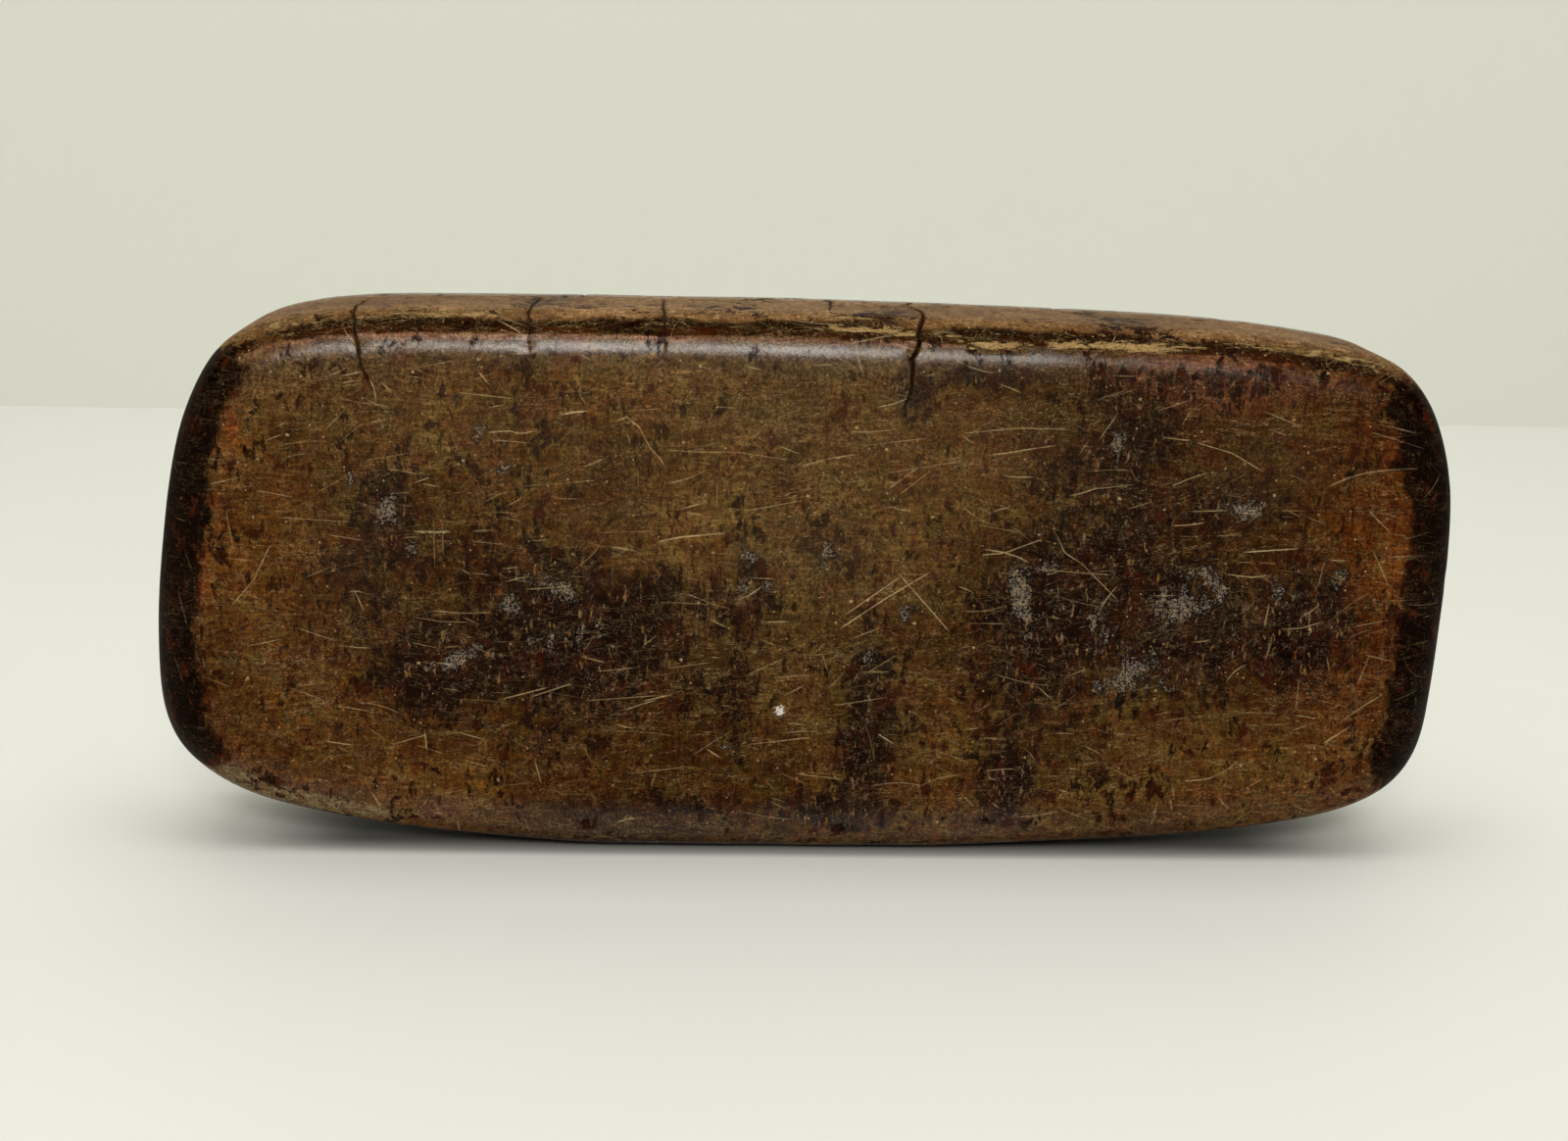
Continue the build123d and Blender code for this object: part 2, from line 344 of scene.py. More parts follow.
def outline_stations(min_gap=0.35):
    """Edge-band vertices in order round the block, without near doubles."""
    band = cad_points[np.abs(cad_points[:, 1]) < HALF_BAND + FLAT][:, [0, 2]]
    middle = np.array([0.0, (LOW[2] + HIGH[2]) / 2])
    band = band[np.argsort(np.arctan2(band[:, 1] - middle[1], band[:, 0] - middle[0]))]
    kept = [band[0]]
    for point in band[1:]:
        if np.linalg.norm(point - kept[-1]) > min_gap:
            kept.append(point)
    if np.linalg.norm(kept[0] - kept[-1]) < min_gap:
        kept.pop()
    return np.array(kept)


def closed_curve(stations, count, max_step=0.08, blur=0.7):
    """Even points on a smooth closed curve through the stations, with outward normals."""
    ahead, behind = np.roll(stations, -1, 0), np.roll(stations, 1, 0)
    gap = np.linalg.norm(ahead - stations, axis=1)[:, None]
    gap_behind = np.linalg.norm(stations - behind, axis=1)[:, None]
    tangent = (ahead - stations) / gap * gap_behind + (stations - behind) / gap_behind * gap
    tangent = tangent / (gap + gap_behind)
    pieces = []
    for i in range(len(stations)):
        j = (i + 1) % len(stations)
        h = gap[i, 0]
        steps = max(2, int(math.ceil(h / max_step)))
        t = (np.arange(steps) / steps)[:, None]
        pieces.append(
            (2 * t**3 - 3 * t**2 + 1) * stations[i]
            + (t**3 - 2 * t**2 + t) * h * tangent[i]
            + (-2 * t**3 + 3 * t**2) * stations[j]
            + (t**3 - t**2) * h * tangent[j]
        )
    curve = np.concatenate(pieces)
    lengths = np.linalg.norm(np.roll(curve, -1, 0) - curve, axis=1)
    run = np.concatenate([[0], np.cumsum(lengths)])
    even = np.linspace(0, run[-1], count, endpoint=False)
    loop = np.vstack([curve, curve[:1]])
    curve = np.stack([np.interp(even, run, loop[:, 0]), np.interp(even, run, loop[:, 1])], 1)
    # a light Gaussian along the curve evens the curvature between stations
    offsets = np.arange(-12, 13)
    weights = np.exp(-0.5 * (offsets * (run[-1] / count) / blur) ** 2)
    weights /= weights.sum()
    curve = sum(w * np.roll(curve, -k, 0) for w, k in zip(weights, offsets))
    way = np.roll(curve, -1, 0) - np.roll(curve, 1, 0)
    way /= np.linalg.norm(way, axis=1)[:, None]
    return curve, np.stack([way[:, 1], -way[:, 0]], 1)


CURVE, CURVE_NORMAL = closed_curve(outline_stations(), CURVE_POINTS)

# signed distance to the outline, and its nearest sample, on a grid in X and Z
grid_x, grid_z = (
    np.arange(LOW[k] - GRID_MARGIN, HIGH[k] + GRID_MARGIN + GRID, GRID) for k in (0, 2))
grid_dist = np.zeros((len(grid_x), len(grid_z)))
grid_near = np.zeros((len(grid_x), len(grid_z)), int)
for i, x in enumerate(grid_x):
    row = np.stack([np.full(len(grid_z), x), grid_z], 1)
    nearest = ((row[:, None, :] - CURVE[None]) ** 2).sum(2).argmin(1)
    grid_near[i] = nearest
    grid_dist[i] = ((row - CURVE[nearest]) * CURVE_NORMAL[nearest]).sum(1)


def outline_at(x, z):
    """Signed distance to the outline (negative inside) and its outward normal."""
    fx = np.clip((x - grid_x[0]) / GRID, 0, len(grid_x) - 1.001)
    fz = np.clip((z - grid_z[0]) / GRID, 0, len(grid_z) - 1.001)
    i, j = fx.astype(int), fz.astype(int)
    fx, fz = fx - i, fz - j
    lower = grid_dist[i, j] * (1 - fx) + grid_dist[i + 1, j] * fx
    upper = grid_dist[i, j + 1] * (1 - fx) + grid_dist[i + 1, j + 1] * fx
    coarse = lower * (1 - fz) + upper * fz
    # refine with the nearest curve samples round the grid's own answer
    first = grid_near[i, j]
    best, nearest = np.full(len(x), 1e9), first.copy()
    for offset in range(-24, 25, 2):
        k = (first + offset) % CURVE_POINTS
        gap = (x - CURVE[k, 0]) ** 2 + (z - CURVE[k, 1]) ** 2
        closer = gap < best
        best[closer], nearest[closer] = gap[closer], k[closer]
    normal = CURVE_NORMAL[nearest]
    exact = (x - CURVE[nearest, 0]) * normal[:, 0] + (z - CURVE[nearest, 1]) * normal[:, 1]
    return np.where(coarse > -SHOULDER * 1.3, exact, coarse), normal


def project(points):
    """Nearest points of the ideal block, and its outward normals."""
    for _ in range(2):
        dist, outward = outline_at(points[:, 0], points[:, 2])
        out_xz, out_y = dist + SHOULDER, np.abs(points[:, 1]) - HALF_BAND
        pos_xz, pos_y = np.maximum(out_xz, 0), np.maximum(out_y, 0)
        length = np.hypot(pos_xz, pos_y)
        inside = length < 1e-9
        safe = np.maximum(length, 1e-9)
        unit_xz = np.where(inside, (out_xz > out_y).astype(float), pos_xz / safe)
        unit_y = np.where(inside, (out_xz <= out_y).astype(float), pos_y / safe)
        gap = np.where(inside, np.maximum(out_xz, out_y), length) - SHOULDER
        normals = np.stack([unit_xz * outward[:, 0], unit_y * np.sign(points[:, 1]),
                            unit_xz * outward[:, 1]], 1)
        points = points - normals * gap[:, None]
    return points, normals


def surface_place(points):
    """across: distance over the surface from the front face's rim, over shoulder and edge
    band, to the back; rim: signed distance to the outline; outward: the outline's normal."""
    rim, outward = outline_at(points[:, 0], points[:, 2])
    depth_y = np.abs(points[:, 1])
    out_xz, out_y = np.maximum(rim + SHOULDER, 0), np.maximum(depth_y - HALF_BAND, 0)
    across = np.where(rim < -SHOULDER, rim + SHOULDER, SHOULDER * np.arctan2(out_xz, out_y))
    across = np.where(out_y <= 0, HALF_ACROSS - depth_y, across)
    across = np.where(points[:, 1] > 0, 2 * HALF_ACROSS - across, across)
    return across, rim, outward


# ---------------------------------------------------------------------------
# where the marks fall
# ---------------------------------------------------------------------------
def far_side(marks, seed):
    """Marks of the same kind and density for the back, in other places."""
    rng = np.random.default_rng(seed)
    out = []
    for x, z, half_x, half_z, turn, strength in marks:
        far_x = -x + rng.normal(0, 12)
        far_z = 36.0 + (z - 36.0) * rng.choice([-1, 1]) * 0.9 + rng.normal(0, 5)
        k = rng.uniform(0.75, 1.3)
        out.append((float(np.clip(far_x, -74, 74)), float(np.clip(far_z, 8, 65)), half_x * k,
                    half_z / k, turn + rng.normal(0, 25), strength * rng.uniform(0.6, 1.05)))
    return out


FAR_MARKS = {name: far_side(marks, 100 + i) for i, (name, marks) in enumerate(MARKS.items())}


def tone_by_place(x, z):
    """Wood tone as a smooth blend of the zones."""
    total = np.full(len(x), 0.12)
    tone = total[:, None] * to_linear(TONES["brown"])
    for name, at_x, at_z, half_x, half_z, weight in ZONES:
        k = weight * np.exp(-(((x - at_x) / half_x) ** 2 + ((z - at_z) / half_z) ** 2))
        total += k
        tone += k[:, None] * to_linear(TONES[name])
    return tone / total[:, None]


def blobs(x, z, marks):
    """Soft turned ellipses, joined so that overlaps stay below 1."""
    out = np.zeros(len(x))
    for at_x, at_z, half_x, half_z, turn, strength in marks:
        c, s = math.cos(math.radians(turn)), math.sin(math.radians(turn))
        u = ((x - at_x) * c + (z - at_z) * s) / half_x
        v = (-(x - at_x) * s + (z - at_z) * c) / half_z
        out = 1 - (1 - out) * (1 - strength * np.exp(-(u * u + v * v)))
    return out


def scuff_at(points):
    x, y, z = points.T
    return np.where(y < 0, blobs(x, z, MARKS["grey"]), blobs(x, z, FAR_MARKS["grey"]))


def flake_at(points):
    """Where the dark skin has flaked off the front shoulder of the top edge."""
    across, _rim, outward = surface_place(points)
    out = np.zeros(len(points))
    for at_x, at_across, half_x, half_across, strength in FLAKES:
        u, v = (points[:, 0] - at_x) / half_x, (across - at_across) / half_across
        out = np.maximum(out, strength * np.exp(-(u**4 + v**2)))
    return out * (points[:, 1] < 0) * ramp(0.3, 0.8, outward[:, 1])


def polyline_distance(points, path):
    """Distance from a path, and the nearest place along it from 0 to 1."""
    best = np.full(len(points), 1e9)
    along = np.zeros(len(points))
    total = sum(np.linalg.norm(np.subtract(b, a)) for a, b in zip(path[:-1], path[1:]))
    run = 0.0
    for a, b in zip(path[:-1], path[1:]):
        a, b = np.array(a, float), np.array(b, float)
        length = np.linalg.norm(b - a)
        t = np.clip(((points - a) @ (b - a)) / (length * length), 0, 1)
        dist = np.linalg.norm(points - (a + t[:, None] * (b - a)), axis=1)
        closer = dist < best
        best[closer] = dist[closer]
        along[closer] = ((run + t * length) / total)[closer]
        run += length
    return best, along


def jagged(path, seed, sway):
    """The same path with a finer, broken line."""
    path = np.array(path, float)
    run = np.concatenate([[0], np.cumsum(np.linalg.norm(np.diff(path, axis=0), axis=1))])
    count = max(6, int(run[-1] / 1.1))
    even = np.linspace(0, run[-1], count)
    fine = np.stack([np.interp(even, run, path[:, k]) for k in range(3)], 1)
    fine[1:-1, 0] += np.random.default_rng(seed).normal(0, sway, count - 2)
    return project(fine)[0]


CHECK_PATHS = [
    (width, depth, jagged(path, 500 + i, sway=0.10 if width < 0.3 else 0.16))
    for i, (width, depth, path) in enumerate(CHECKS)
]


def near_path(points, path, margin):
    """Indices of the points in the path's box, grown by the margin."""
    box = (points > path.min(0) - margin) & (points < path.max(0) + margin)
    return np.nonzero(box.all(1))[0]


# ---------------------------------------------------------------------------
# mesh: an even skin over the CAD block, finer where there is fine wear
# ---------------------------------------------------------------------------
def base_mesh():
    source = cad.data.copy()
    write_points(source, read_points(source) * MM)
    holder = bpy.data.objects.new("tmp_skin", source)
    bpy.context.scene.collection.objects.link(holder)
    remesh = holder.modifiers.new("skin", "REMESH")
    remesh.mode = "VOXEL"
    remesh.voxel_size = VOXEL
    depsgraph = bpy.context.evaluated_depsgraph_get()
    out = bpy.data.meshes.new_from_object(holder.evaluated_get(depsgraph))
    bpy.data.objects.remove(holder)
    bpy.data.meshes.remove(source)
    return out


def relax(mesh, points, steps):
    """Evens the spacing of the vertices while they stay on the block."""
    edges = np.zeros(len(mesh.edges) * 2, np.int32)
    mesh.edges.foreach_get("vertices", edges)
    edges = edges.reshape(-1, 2)
    degree = np.bincount(edges.ravel(), minlength=len(points)).astype(float)[:, None]
    for _ in range(steps):
        total = np.zeros_like(points)
        np.add.at(total, edges[:, 0], points[edges[:, 1]])
        np.add.at(total, edges[:, 1], points[edges[:, 0]])
        points = project(0.5 * points + 0.5 * total / degree)[0]
    return points


def refine(mesh, wanted):
    """Splits the faces whose centres are wanted."""
    centres = np.zeros(len(mesh.polygons) * 3, np.float32)
    mesh.polygons.foreach_get("center", centres)
    picked = np.nonzero(wanted(centres.reshape(-1, 3).astype(float)))[0]
    bm = bmesh.new()
    bm.from_mesh(mesh)
    bm.faces.ensure_lookup_table()
    edges = {edge for i in picked for edge in bm.faces[int(i)].edges}
    bmesh.ops.subdivide_edges(bm, edges=list(edges), cuts=1, use_grid_fill=True)
    bm.to_mesh(mesh)
    bm.free()
    write_points(mesh, project(read_points(mesh))[0])


def near_checks(points, reach):
    out = np.zeros(len(points), bool)
    for width, _depth, path in CHECK_PATHS:
        k = near_path(points, path, 3)
        if len(k):
            out[k] |= polyline_distance(points[k], path)[0] < width / 2 + reach
    return out


def near_nicks_or_flakes(points):
    out = flake_at(points) > 0.25
    for centre, radius, _depth in NICKS:
        out |= np.linalg.norm(points - np.array(centre), axis=1) < radius * 1.4
    return out


def near_scuffs(points):
    return (scuff_at(points) > 0.25) & (np.abs(points[:, 1]) > HALF_THICK - 0.3)


body = base_mesh()
write_points(body, relax(body, project(read_points(body))[0], steps=6))
refine(body, lambda p: near_checks(p, 1.3) | near_nicks_or_flakes(p) | near_scuffs(p))
refine(body, lambda p: near_checks(p, 0.6) | near_nicks_or_flakes(p))
refine(body, lambda p: near_checks(p, 0.30))

# the unworn skin, and what the wear is measured from
rest, normals = project(read_points(body))
x, y, z = rest.T
along = rest * [1, 0, 0]  # noise read here varies only along X
across, rim, outward = surface_place(rest)
front = y < 0
flake = flake_at(rest)
scuff = scuff_at(rest) * ramp(0.4, -0.8, rim + SHOULDER)


# ---------------------------------------------------------------------------
# shape: depth worn off, in millimetres
# ---------------------------------------------------------------------------
def hand_wear():
    medium = mid_noise(rest, 9, 2)
    depth = 0.10 * (broad_noise(rest, 34, 2) + 1) + 0.035 * (medium + 1)
    # the land that the block rests on stays true, so that it still sits flat
    depth = np.where((z < 0.4) & (np.abs(y) < HALF_BAND), 0.02 * (medium + 1), depth)
    # shoulders are rubbed a little lower in places
    on_shoulder = (rim > -SHOULDER) & (np.abs(y) > HALF_BAND)
    rubbed = 0.10 * np.clip(shoulder_noise(rest, 14, 2) + 0.2, 0, 1)
    depth = depth + np.where(on_shoulder, rubbed, 0.0)
    # a slight hollow and crest along the top front shoulder, with a wandering edge
    sway = 0.45 * sway_noise(along, 7, 2) + 0.25 * jitter_noise(along, 2.5, 2)
    top = ramp(0.55, 0.93, outward[:, 1]) * ramp(-SHOULDER * 1.6, -SHOULDER * 0.6, rim) * front
    hollow = np.exp(-(((across - 6.1 - sway) / 1.0) ** 2))
    crest = np.exp(-(((across - 3.9 - sway) / 0.9) ** 2))
    return depth + top * (0.20 * hollow - 0.05 * crest)


def flake_and_scuff_wear():
    flaked = ramp(0.42, 0.56, flake + 0.30 * flake_noise(rest, 1.6, 3, (2.4, 1, 1)))
    scuffed = ramp(0.40, 0.62, scuff + 0.34 * scuff_noise(rest, 1.5, 3))
    depth = 0.17 * flaked + 0.05 * flaked * fine_noise(rest, 2.2, 3)
    return depth + scuffed * (0.07 + 0.05 * pit_noise(rest, 0.9, 2))


def nick_and_dent_wear():
    depth = np.zeros(len(rest))
    for centre, radius, deep in NICKS:
        dist = np.linalg.norm(rest - np.array(centre), axis=1) / radius
        dist = dist * (1 + 0.25 * nick_noise(rest, 0.7, 2))
        depth += deep * ramp(1.0, 0.25, dist)
    # small dents scattered over the shoulders and edges
    spots = np.nonzero(rim > -SHOULDER * 1.2)[0]
    rng = np.random.default_rng(77)
    for k in rng.choice(spots, 70, replace=False):
        radius, deep = rng.uniform(0.9, 2.6), rng.uniform(0.03, 0.12)
        depth += deep * ramp(1.0, 0.0, np.linalg.norm(rest - rest[k], axis=1) / radius)
    return depth


def check_wear():
    """Depth of the checks, and the soft band round each that the material darkens."""
    depth, mask = np.zeros(len(rest)), np.zeros(len(rest))
    for width, deep, path in CHECK_PATHS:
        k = near_path(rest, path, 4)
        dist, t = polyline_distance(rest[k], path)
        taper = ramp(-0.02, 0.12, t) * ramp(1.03, 0.62, t)
        local = width * (0.35 + 0.65 * taper) * (1 + 0.25 * check_noise(rest[k], 1.2, 2))
        groove = np.clip(1 - dist / (local / 2 + 0.05), 0, 1)
        depth[k] += deep * taper * groove**0.8 + 0.04 * taper * ramp(0.7, 0.0, dist)
        mask[k] = np.maximum(mask[k], taper * ramp(1.0, 0.0, dist / 0.55))
    return depth, mask


check_depth, check_mask = check_wear()
press = hand_wear() + flake_and_scuff_wear() + nick_and_dent_wear() + check_depth
# all wear goes inwards, and nothing leaves the CAD block's box
worn = np.clip(rest - normals * press[:, None], LOW + 1e-3, HIGH - 1e-3)


# ---------------------------------------------------------------------------
# soft fields the material breaks up: stains, scuffs, dirt, wear, and painted sheen and light
# ---------------------------------------------------------------------------
def wear_fields():
    back = ramp(-4.0, 4.0, y)
    dark, orange, painted_sheen = (
        blobs(x, z, MARKS[name]) * (1 - back) + blobs(x, z, FAR_MARKS[name]) * back
        for name in ("dark", "orange", "painted_sheen"))
    on_face = ramp(-SHOULDER * 0.15, -SHOULDER * 0.9, rim)
    # the edges get soft stains of their own
    edge_stain = ramp(0.1, 0.9, stain_noise(rest, 15, 3)) * 0.5
    dark = dark * on_face + (1 - on_face) * edge_stain
    orange = orange * (0.3 + 0.7 * on_face)
    mix = back[:, None]
    tone = tone_by_place(x, z) * (1 - mix) + tone_by_place(-0.9 * x + 6, 74 - z) * mix

    lift = outward[:, 1]
    ends = ramp(0.35, 0.9, np.abs(outward[:, 0]))
    top = ramp(0.5, 0.9, lift)
    bottom = ramp(0.3, 0.85, -lift)
    sway = 1.1 * sway_noise(rest, 8, 2) + 0.5 * jitter_noise(rest, 2.6, 2)
    line = 0.35 * jitter_noise(rest * [1, 0.2, 0.2], 4.0, 3)
    turn = np.minimum(across, 2 * HALF_ACROSS - across)  # across, the same from either face
    # dark handled skin over the end shoulders
    end_dark = ends * ramp(-1.2, 2.2, turn + 1.0 * sway + 1.4 * ramp(0.0, 40.0, x))
    end_dark = end_dark * ramp(10.5, 6.0, turn + 0.5 * sway)
    # dirt along the top shoulder: sharp on the face side, fading towards the edge band
    dirt = top * ramp(3.35, 3.75, turn + line) * ramp(7.8, 5.6, turn + 0.7 * sway)
    dirt = dirt * (0.78 + 0.3 * flake_noise(along, 16, 2))
    corner = ramp(0.30, 0.62, lift) * ramp(0.985, 0.90, lift)
    corner_dirt = 0.95 * corner * ramp(3.4, 4.1, turn + line) * ramp(6.2, 4.9, turn + line)
    dirt = np.maximum(dirt * (1 - corner), corner_dirt)
    # pale rubbed wood beside the dirt line and round the lower corners
    rub = top * ramp(2.5, 2.95, turn + line) * ramp(4.0, 3.5, turn + line)
    rub = rub * (1 - 0.65 * ramp(14, 24, x) * (1 - back))
    low_rub = bottom * ramp(1.0, 3.5, turn) * ramp(8.5, 5.0, turn) * ramp(-40, -62, x + 6 * sway)
    end_rub = 0.5 * ends * ramp(18, 8, z) * ramp(2.0, 4.0, turn) * ramp(9.0, 6.0, turn)
    rub = np.maximum(rub * 0.75, np.maximum(low_rub, end_rub))
    # the top band, painted paler: partly pale worn wood, partly painted light on the upward-facing
    # top
    top_band_wood_and_light = np.maximum(top, ramp(0.30, 0.6, lift)) * ramp(5.4, 7.6, turn + 0.4 * sway)
    # hands polish the shoulders most
    gloss = ramp(-2.2, 1.2, turn) * ramp(5.2, 3.6, turn) * (0.45 + 0.55 * ramp(0.3, 0.8, lift))
    gloss *= np.clip(0.96 + 0.40 * scuff_noise(rest * [1, 0.3, 0.3], 11, 2), 0.4, 1.0)
    gloss *= 1 - 0.62 * ramp(24, 40, x) * (1 - back)
    gloss = np.maximum(gloss, top * ramp(3.5, 7.5, y) * ramp(-0.8, 1.0, turn))
    gloss = np.maximum(gloss, 0.7 * bottom * ramp(4.5, 7.5, turn))

    ones = np.ones(len(rest))
    return {
        "fa": (dark, orange, painted_sheen * on_face, turn / 10.0),
        "fb": (scuff, check_mask, dirt, flake),
        "fc": (end_dark, rub, top_band_wood_and_light, gloss),
        "place": (x, y, z, ones),
        "tone": (*tone.T, ones),
    }


# ---------------------------------------------------------------------------
# scratches: strength, width and path of each
# ---------------------------------------------------------------------------
def long_scratches():
    out = []
    for strength, width, *flat in SCRATCHES:
        path = np.array([(a, -HALF_THICK, b) for a, b in zip(flat[::2], flat[1::2])])
        out.append((0.9 * strength, 0.78 * width, project(path)[0]))
    for strength, width, *flat in SCRATCHES[::2]:
        # the back was used in the same way
        path = np.array([(-0.93 * a - 4, HALF_THICK, 70 - 0.92 * b)
                         for a, b in zip(flat[::2], flat[1::2])])
        out.append((0.8 * strength, width, project(path)[0]))
    return out


def stray_scratches(count, seed, stations=9):
    """Seeded scratches over the whole block: mostly level, some in any direction."""
    rng = np.random.default_rng(seed)
    points, normal = project(rest[rng.choice(len(rest), count)])
    level = rng.random(count) < 0.62
    angle = np.where(level, rng.normal(0.0, 0.24, count),
                     rng.uniform(-math.pi, math.pi, count))[:, None]
    length = np.where(level, rng.lognormal(1.15, 0.55, count), rng.lognormal(0.75, 0.55, count))
    length = np.clip(length, 0.8, 12.0)
    bend = rng.normal(0, 0.10, count) * np.where(level, 0.5, 1.3)
    level_way = np.cross(normal, np.array([0, 0, 1.0]))
    level_way[np.linalg.norm(level_way, axis=1) < 0.2] = np.array([1.0, 0, 0])
    level_way /= np.linalg.norm(level_way, axis=1)[:, None]
    way = np.cos(angle) * level_way + np.sin(angle) * np.cross(level_way, normal)
    step = length / (stations - 1)
    path = [points]
    for _ in range(stations - 1):
        points, normal = project(points + way * step[:, None])
        side = np.cross(normal, way)
        way = way + side * (bend * step)[:, None] + side * rng.normal(0, 0.03, count)[:, None]
        way -= normal * (way * normal).sum(1)[:, None]
        way /= np.linalg.norm(way, axis=1)[:, None]
        path.append(points)
    paths = np.stack(path, 1)
    strong = rng.random(count) ** 3.2
    return [(0.13 + 0.66 * s, 0.050 + 0.050 * s + 0.015 * rng.random(), path)
            for s, path in zip(strong, paths)]


def scratch_coordinates(points, normal, path):
    """Distance from the path, signed distance across it, place along it, and its length.
    The place along runs on past both ends."""
    best = np.full(len(points), 1e9)
    across_path, along_path = np.zeros(len(points)), np.zeros(len(points))
    run = 0.0
    pieces = np.diff(path, axis=0)
    lengths = np.linalg.norm(pieces, axis=1)
    last = len(pieces) - 1
    for j, length in enumerate(lengths):
        if length < 1e-6:
            continue
        way = pieces[j] / length
        offset = points - path[j]
        t = offset @ way
        start = -2 * SCRATCH_REACH if j == 0 else 0.0
        end = length + 2 * SCRATCH_REACH if j == last else length
        on_piece = path[j] + np.clip(t, 0, length)[:, None] * way
        dist = np.linalg.norm(points - on_piece, axis=1)
        closer = dist < best
        best[closer] = dist[closer]
        across_path[closer] = (offset * np.cross(normal, way)).sum(1)[closer]
        along_path[closer] = (run + np.clip(t, start, end))[closer]
        run += length
    return best, across_path, along_path, run


def scratch_fields():
    """Per vertex: distance across over width, distance in from the nearer end, strength,
    and 1 where set.  The material can then draw lines far finer than the mesh.
    Scratches that meet go in different sets."""
    by_x = np.argsort(rest[:, 0])
    sorted_x = rest[by_x, 0]
    sets = [np.zeros((len(rest), 4)) for _ in range(SCRATCH_SETS)]
    for strength, width, path in long_scratches() + stray_scratches(STRAY_SCRATCHES, seed=4242):
        low, high = path.min(0) - SCRATCH_REACH, path.max(0) + SCRATCH_REACH
        first, stop = np.searchsorted(sorted_x, [low[0], high[0]])
        ids = by_x[first:stop]
        nearby = rest[ids]
        ids = ids[((nearby[:, 1:] > low[1:]) & (nearby[:, 1:] < high[1:])).all(1)]
        if not len(ids):
            continue
        dist, off, place, run = scratch_coordinates(rest[ids], normals[ids], path)
        close = dist < SCRATCH_REACH
        if close.sum() < 4:
            continue
        ids, off, place = ids[close], off[close], place[close]
        inset = run / 2 - np.abs(place - run / 2)
        for values in sets:
            if not values[ids, 3].any():
                ones = np.ones(len(ids))
                values[ids] = np.stack([off / width, inset, strength * ones, ones], 1)
                break
    return {"s%d" % i: tuple(values.T) for i, values in enumerate(sets)}


fields = {**wear_fields(), **scratch_fields()}
write_points(body, worn / MM)
for name, channels in fields.items():
    attribute = body.attributes.new(name, "FLOAT_COLOR", "POINT")
    attribute.data.foreach_set("color", np.stack(channels, 1).astype(np.float32).ravel())
body.polygons.foreach_set("use_smooth", np.ones(len(body.polygons), bool))
body.name = "slicker_body"
block = bpy.data.objects.new("slicker_body", body)
bpy.context.scene.collection.objects.link(block)


# ---------------------------------------------------------------------------
# node helpers
# ---------------------------------------------------------------------------
def rgb(red, green, blue):
    """Linear RGBA from sRGB 0 to 255."""
    return (*to_linear((red, green, blue)), 1.0)


class Nodes:
    """Builds shader nodes; an input may be a socket, a value, or None to leave it."""

    def __init__(self, tree):
        self.tree = tree
        tree.nodes.clear()

    def new(self, kind, inputs=None, **settings):
        node = self.tree.nodes.new(kind)
        for key, value in settings.items():
            setattr(node, key, value)
        for key, value in (inputs or {}).items():
            if isinstance(value, bpy.types.NodeSocket):
                self.tree.links.new(value, node.inputs[key])
            elif value is not None:
                node.inputs[key].default_value = value
        return node

    def calc(self, operation, a, b=None, c=None, clamp=False):
        return self.new("ShaderNodeMath", {0: a, 1: b, 2: c}, operation=operation,
                        use_clamp=clamp).outputs[0]

    def add(self, total, *others):
        for other in others:
            total = self.calc("ADD", total, other)
        return total

    def mul(self, total, *others):
        for other in others:
            total = self.calc("MULTIPLY", total, other)
        return total

    def step(self, value, start, end, low=0.0, high=1.0):
        """Smoothstep from low at start to high at end; start may be the larger."""
        inputs = {"Value": value, "From Min": start, "From Max": end, "To Min": low,
                  "To Max": high}
        return self.new("ShaderNodeMapRange", inputs, interpolation_type="SMOOTHSTEP",
                        clamp=True).outputs["Result"]

    def vector(self, operation, a, b=None, scale=None):
        return self.new("ShaderNodeVectorMath", {0: a, 1: b, "Scale": scale},
                        operation=operation).outputs["Vector"]

    def noise(self, coords, scale=1.0, detail=3, rough=0.55, warp=0.0):
        inputs = {"Vector": coords, "Scale": scale, "Detail": detail, "Roughness": rough,
                  "Distortion": warp}
        return self.new("ShaderNodeTexNoise", inputs, noise_dimensions="3D").outputs["Fac"]

    def mix(self, factor, a, b, mode="MIX"):
        return self.new("ShaderNodeMix", {0: factor, 6: a, 7: b}, data_type="RGBA",
                        blend_type=mode).outputs[2]

    def mix_value(self, factor, a, b):
        return self.new("ShaderNodeMix", {0: factor, 2: a, 3: b}, data_type="FLOAT").outputs[0]

    def attribute(self, name):
        return self.new("ShaderNodeAttribute", attribute_type="GEOMETRY", attribute_name=name)

    def channels(self, name):
        """The four channels of a colour attribute."""
        node = self.attribute(name)
        parts = self.new("ShaderNodeSeparateColor", {0: node.outputs["Color"]}, mode="RGB")
        return (*parts.outputs[:3], node.outputs["Alpha"])


def new_material(name):
    material = bpy.data.materials.new(name)
    material.use_nodes = True
    return material, Nodes(material.node_tree)


# ---------------------------------------------------------------------------
# the wood
# ---------------------------------------------------------------------------
hardwood, wood = new_material("worn_hardwood")
add, mul, mix, step = wood.add, wood.mul, wood.mix, wood.step
noise, calc = wood.noise, wood.calc
object_space = wood.new("ShaderNodeTexCoord").outputs["Object"]


def scaled(x=1.0, y=1.0, z=1.0, shift=(0.0, 0.0, 0.0)):
    """Millimetres in the block's own space; a larger factor makes a pattern finer."""
    inputs = {"Vector": object_space, "Location": shift, "Scale": (MM * x, MM * y, MM * z)}
    return wood.new("ShaderNodeMapping", inputs, vector_type="POINT").outputs[0]


def vary(value, amount=1.0):
    """A noise value spread round 0, to about plus or minus the amount."""
    return calc("MULTIPLY_ADD", value, 2.0 * amount, -amount)


